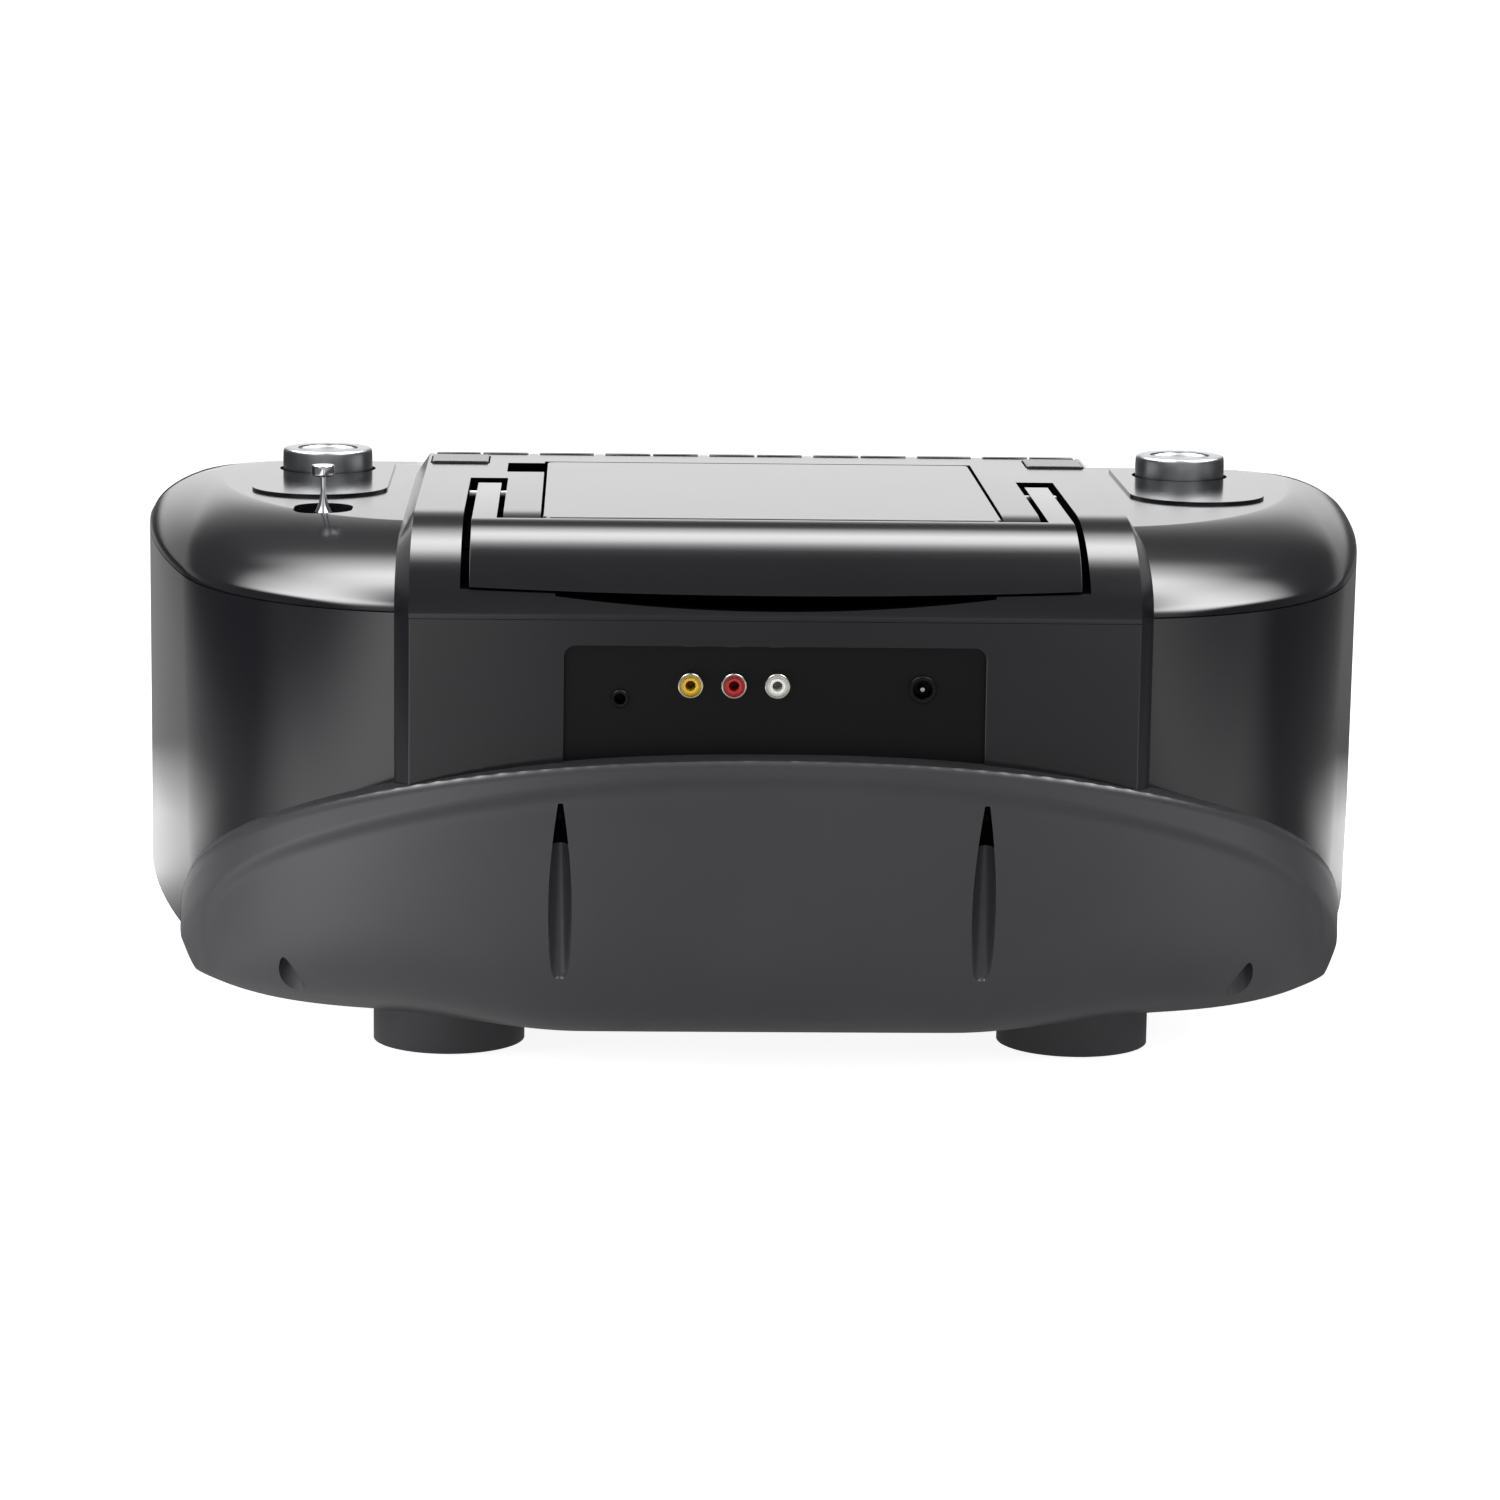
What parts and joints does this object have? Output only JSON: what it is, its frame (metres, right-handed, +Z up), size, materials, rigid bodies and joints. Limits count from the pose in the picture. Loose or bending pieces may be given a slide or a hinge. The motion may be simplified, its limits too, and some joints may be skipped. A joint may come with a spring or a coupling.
{
  "type": "karaoke machine with disc tray",
  "caption": "Table-top karaoke machine with top-loading disc lid, fold-up handle, rocker keys, volume knobs, telescopic antenna, rear jacks and speaker pods.",
  "frame": {"origin": "on the floor, under the middle of the machine's box", "axes": "+Z up; the speakers and microphone jacks face -Y, the phono jacks face +Y; +X is to the right for someone facing the speakers' side from behind the machine's front, so the antenna stands on the +X side"},
  "size_m": [0.4496, 0.263, 0.1964],
  "materials": {
    "cabinet_plastic": "moulded near-black styrene, satin gloss",
    "base_plastic": "moulded dark grey styrene, satin gloss",
    "rubber": "moulded rubber",
    "key_plastic": "silver-grey painted keys",
    "knob_metal": "spun satin aluminium",
    "chrome_tube": "chrome-plated brass tube",
    "steel": "zinc-plated steel",
    "black_plastic": "black moulded plastic",
    "nickel": "nickel-plated brass",
    "yellow_plastic": "yellow insulator",
    "red_plastic": "red insulator",
    "white_plastic": "white insulator",
    "board": "glass-fibre board with green mask",
    "paper": "pressed paper cone",
    "grille_steel": "perforated steel, powder coated",
    "window": "smoked clear plastic",
    "lens": "coated lens"
  },
  "bodies": {
    "case": {"top_shell": "cabinet_plastic", "rear_cabinet": "cabinet_plastic", "front_panel": "cabinet_plastic", "base_shell": "base_plastic", "foot_pads": "rubber", "foot_rear_left": "base_plastic", "foot_rear_right": "base_plastic", "foot_front_left": "base_plastic", "foot_front_right": "base_plastic", "handle_pivot_pins": "steel", "lid_hinge_pins": "steel", "disc_well": "black_plastic", "spindle_motor": "steel", "mechanism_chassis": "steel", "pickup_rails": "steel", "knob_plates": "cabinet_plastic", "potentiometers": "steel", "antenna_socket": "black_plastic", "antenna_sleeve": "chrome_tube", "key_board": "board", "display_window": "window", "jack_panel": "black_plastic", "rca_shells": "nickel", "aux_jack": "black_plastic", "power_jack": "black_plastic", "jack_board": "board", "mic_jacks": "black_plastic", "main_board": "board", "case_screws": "steel", "rca_insert_yellow": "yellow_plastic", "rca_insert_red": "red_plastic", "rca_insert_white": "white_plastic", "speaker_grille_left": "grille_steel", "speaker_grille_right": "grille_steel", "speaker_basket_left": "steel", "speaker_basket_right": "steel", "speaker_cone_left": "paper", "speaker_cone_right": "paper"},
    "handle": {"carry_handle": "cabinet_plastic"},
    "lid": {"disc_lid": "cabinet_plastic"},
    "turntable": {"spindle_hub": "black_plastic"},
    "pickup": {"optical_pickup": "black_plastic", "pickup_lens": "lens"},
    "antenna_2": {"antenna_middle_tube": "chrome_tube"},
    "antenna_3": {"antenna_inner_tube": "chrome_tube"},
    "antenna_4": {"antenna_tip_rod": "chrome_tube"},
    "power": {"power_key": "key_plastic"},
    "knob_left": {"volume_knob_left": "knob_metal"},
    "mic_dial_left": {"mic_knob_left": "knob_metal"},
    "mode_left": {"mode_key_left": "key_plastic"},
    "knob_right": {"volume_knob_right": "knob_metal"},
    "mic_dial_right": {"mic_knob_right": "knob_metal"},
    "mode_right": {"mode_key_right": "key_plastic"},
    "key_1": {"front_key_1": "key_plastic"},
    "key_2": {"front_key_2": "key_plastic"},
    "key_3": {"front_key_3": "key_plastic"},
    "key_4": {"front_key_4": "key_plastic"},
    "key_5": {"front_key_5": "key_plastic"},
    "key_6": {"front_key_6": "key_plastic"},
    "key_7": {"front_key_7": "key_plastic"}
  },
  "joints": [
    {"name": "handle_swing", "type": "hinge", "parent": "case", "child": "handle", "pos_m": [0, -0.0075, 0.1845], "axis": [1, 0, 0], "range_deg": [0, 90]},
    {"name": "lid_opening", "type": "hinge", "parent": "case", "child": "lid", "pos_m": [0, 0.0772, 0.1844], "axis": [-1, 0, 0], "range_deg": [0, 75]},
    {"name": "turntable_spin", "type": "hinge", "parent": "case", "child": "turntable", "pos_m": [0, 0.00625, 0.17], "axis": [0, 0, 1], "continuous": true},
    {"name": "pickup_travel", "type": "slide", "parent": "case", "child": "pickup", "axis": [0, -1, 0], "range_m": [0, 0.03]},
    {"name": "volume_turn_left", "type": "hinge", "parent": "case", "child": "knob_left", "pos_m": [-0.1576, -0.0995, 0.18], "axis": [0, 0, -1], "range_deg": [0, 300]},
    {"name": "mic_volume_turn_left", "type": "hinge", "parent": "case", "child": "mic_dial_left", "pos_m": [-0.03, -0.1225, 0.104], "axis": [0, -1, 0], "range_deg": [0, 300]},
    {"name": "mode_press_left", "type": "slide", "parent": "case", "child": "mode_left", "axis": [0, 0, -1], "range_m": [0, 0.0012], "stiffness_N_per_m": 400},
    {"name": "volume_turn_right", "type": "hinge", "parent": "case", "child": "knob_right", "pos_m": [0.1576, -0.0995, 0.18], "axis": [0, 0, -1], "range_deg": [0, 300]},
    {"name": "mic_volume_turn_right", "type": "hinge", "parent": "case", "child": "mic_dial_right", "pos_m": [0.03, -0.1225, 0.104], "axis": [0, -1, 0], "range_deg": [0, 300]},
    {"name": "mode_press_right", "type": "slide", "parent": "case", "child": "mode_right", "axis": [0, 0, -1], "range_m": [0, 0.0012], "stiffness_N_per_m": 400},
    {"name": "antenna_draw_2", "type": "slide", "parent": "case", "child": "antenna_2", "axis": [0, 0, 1], "range_m": [0, 0.105]},
    {"name": "antenna_draw_3", "type": "slide", "parent": "antenna_2", "child": "antenna_3", "axis": [0, 0, 1], "range_m": [0, 0.105]},
    {"name": "antenna_draw_4", "type": "slide", "parent": "antenna_3", "child": "antenna_4", "axis": [0, 0, 1], "range_m": [0, 0.105]},
    {"name": "key_rock_1", "type": "hinge", "parent": "case", "child": "key_1", "pos_m": [-0.1007, -0.0985, 0.187], "axis": [0, 1, 0], "range_deg": [-2, 2], "stiffness_Nm_per_rad": 2},
    {"name": "key_press_2", "type": "slide", "parent": "case", "child": "key_2", "axis": [0, 0, -1], "range_m": [0, 0.0012], "stiffness_N_per_m": 400},
    {"name": "key_rock_3", "type": "hinge", "parent": "case", "child": "key_3", "pos_m": [-0.0383, -0.0985, 0.187], "axis": [0, 1, 0], "range_deg": [-2, 2], "stiffness_Nm_per_rad": 2},
    {"name": "key_rock_4", "type": "hinge", "parent": "case", "child": "key_4", "pos_m": [0, -0.0985, 0.187], "axis": [0, 1, 0], "range_deg": [-2, 2], "stiffness_Nm_per_rad": 2},
    {"name": "key_rock_5", "type": "hinge", "parent": "case", "child": "key_5", "pos_m": [0.0383, -0.0985, 0.187], "axis": [0, 1, 0], "range_deg": [-2, 2], "stiffness_Nm_per_rad": 2},
    {"name": "key_press_6", "type": "slide", "parent": "case", "child": "key_6", "axis": [0, 0, -1], "range_m": [0, 0.0012], "stiffness_N_per_m": 400},
    {"name": "key_rock_7", "type": "hinge", "parent": "case", "child": "key_7", "pos_m": [0.1007, -0.0985, 0.187], "axis": [0, 1, 0], "range_deg": [-2, 2], "stiffness_Nm_per_rad": 2},
    {"name": "power_press", "type": "slide", "parent": "case", "child": "power", "axis": [0, 1, 0], "range_m": [0, 0.0015], "stiffness_N_per_m": 400}
  ]
}
